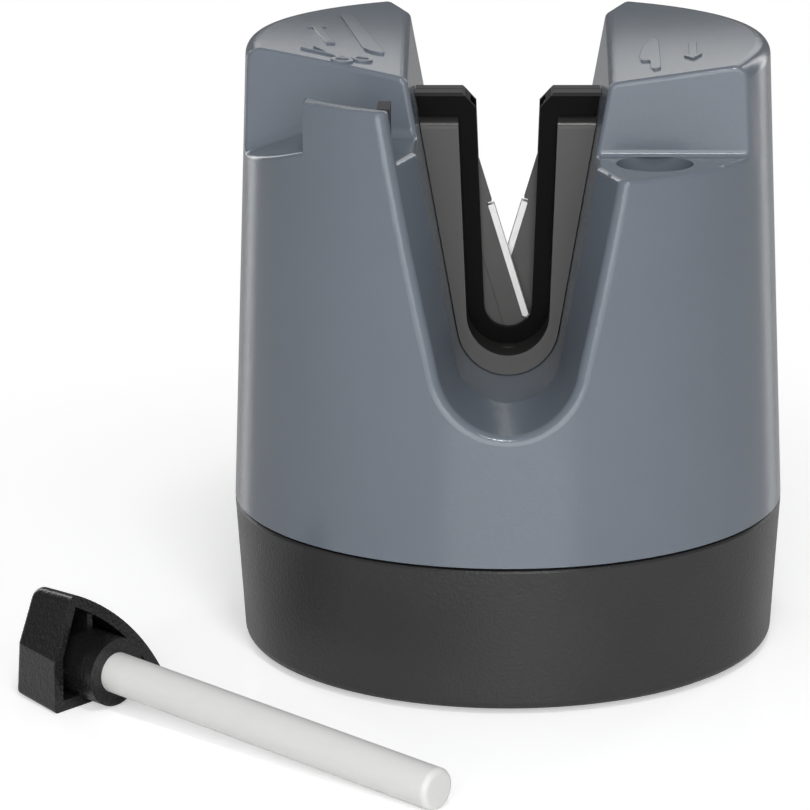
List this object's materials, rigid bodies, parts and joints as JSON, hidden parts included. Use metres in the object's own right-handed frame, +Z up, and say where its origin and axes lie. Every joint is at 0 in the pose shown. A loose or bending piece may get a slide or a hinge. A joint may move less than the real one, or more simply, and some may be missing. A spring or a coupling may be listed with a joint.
{
  "type": "manual knife sharpener",
  "caption": "Round countertop knife sharpener with a V-shaped saddle, crossed spring-loaded sharpening arms, a scissor pocket and a loose ceramic honing rod.",
  "frame": {"origin": "centre of the foot's underside, on the table", "axes": "+Z up, +Y away from the user, through the knife slot; +X to the user's right"},
  "size_m": [0.1226, 0.1313, 0.0997],
  "materials": {
    "casing_plastic": "blue-grey satin with a fine grain",
    "base_plastic": "black with a fine grain",
    "foot_rubber": "grey, soft",
    "screw_steel": "zinc plated",
    "inner_plastic": "as moulded",
    "dark_ceramic": "fine ground",
    "cartridge_plastic": "black, polished",
    "retainer_steel": "zinc plated",
    "arm_plastic": "dark grey satin",
    "hone_steel": "bright ground",
    "pin_steel": "ground",
    "spring_steel": "drawn wire",
    "rod_ceramic": "white, fine ground",
    "handle_plastic": "black with a fine grain"
  },
  "bodies": {
    "sharpener": {"casing": "casing_plastic", "base": "base_plastic", "rubber_foot": "foot_rubber", "base_screws": "screw_steel", "rod_sleeve": "inner_plastic", "scissor_hone": "dark_ceramic", "cartridge_front_shell": "cartridge_plastic", "cartridge_rear_shell": "cartridge_plastic", "cartridge_screws": "screw_steel", "cartridge_retainer": "retainer_steel", "retainer_screws": "screw_steel", "front_pivot_pin": "pin_steel", "rear_pivot_pin": "pin_steel", "front_arm_spring": "spring_steel", "rear_arm_spring": "spring_steel"},
    "front_arm": {"front_arm": "arm_plastic", "front_hone": "hone_steel"},
    "rear_arm": {"rear_arm": "arm_plastic", "rear_hone": "hone_steel"},
    "honing_rod": {"honing_rod": "rod_ceramic", "rod_handle": "handle_plastic"}
  },
  "joints": [
    {"name": "front_arm_pivot", "type": "hinge", "parent": "sharpener", "child": "front_arm", "pos_m": [0.0048, 0, 0.0415], "axis": [0, -1, 0], "range_deg": [0, 6], "stiffness_Nm_per_rad": 0.15, "springref_deg": -11.46, "deforming": ["front_arm_spring"]},
    {"name": "rear_arm_pivot", "type": "hinge", "parent": "sharpener", "child": "rear_arm", "pos_m": [-0.0048, 0, 0.0415], "axis": [0, 1, 0], "range_deg": [0, 6], "stiffness_Nm_per_rad": 0.15, "springref_deg": -11.46, "deforming": ["rear_arm_spring"]},
    {"name": "rod_lift", "type": "slide", "parent": "sharpener", "child": "honing_rod", "axis": [0, 0, 1], "range_m": [0, 0.1]}
  ]
}
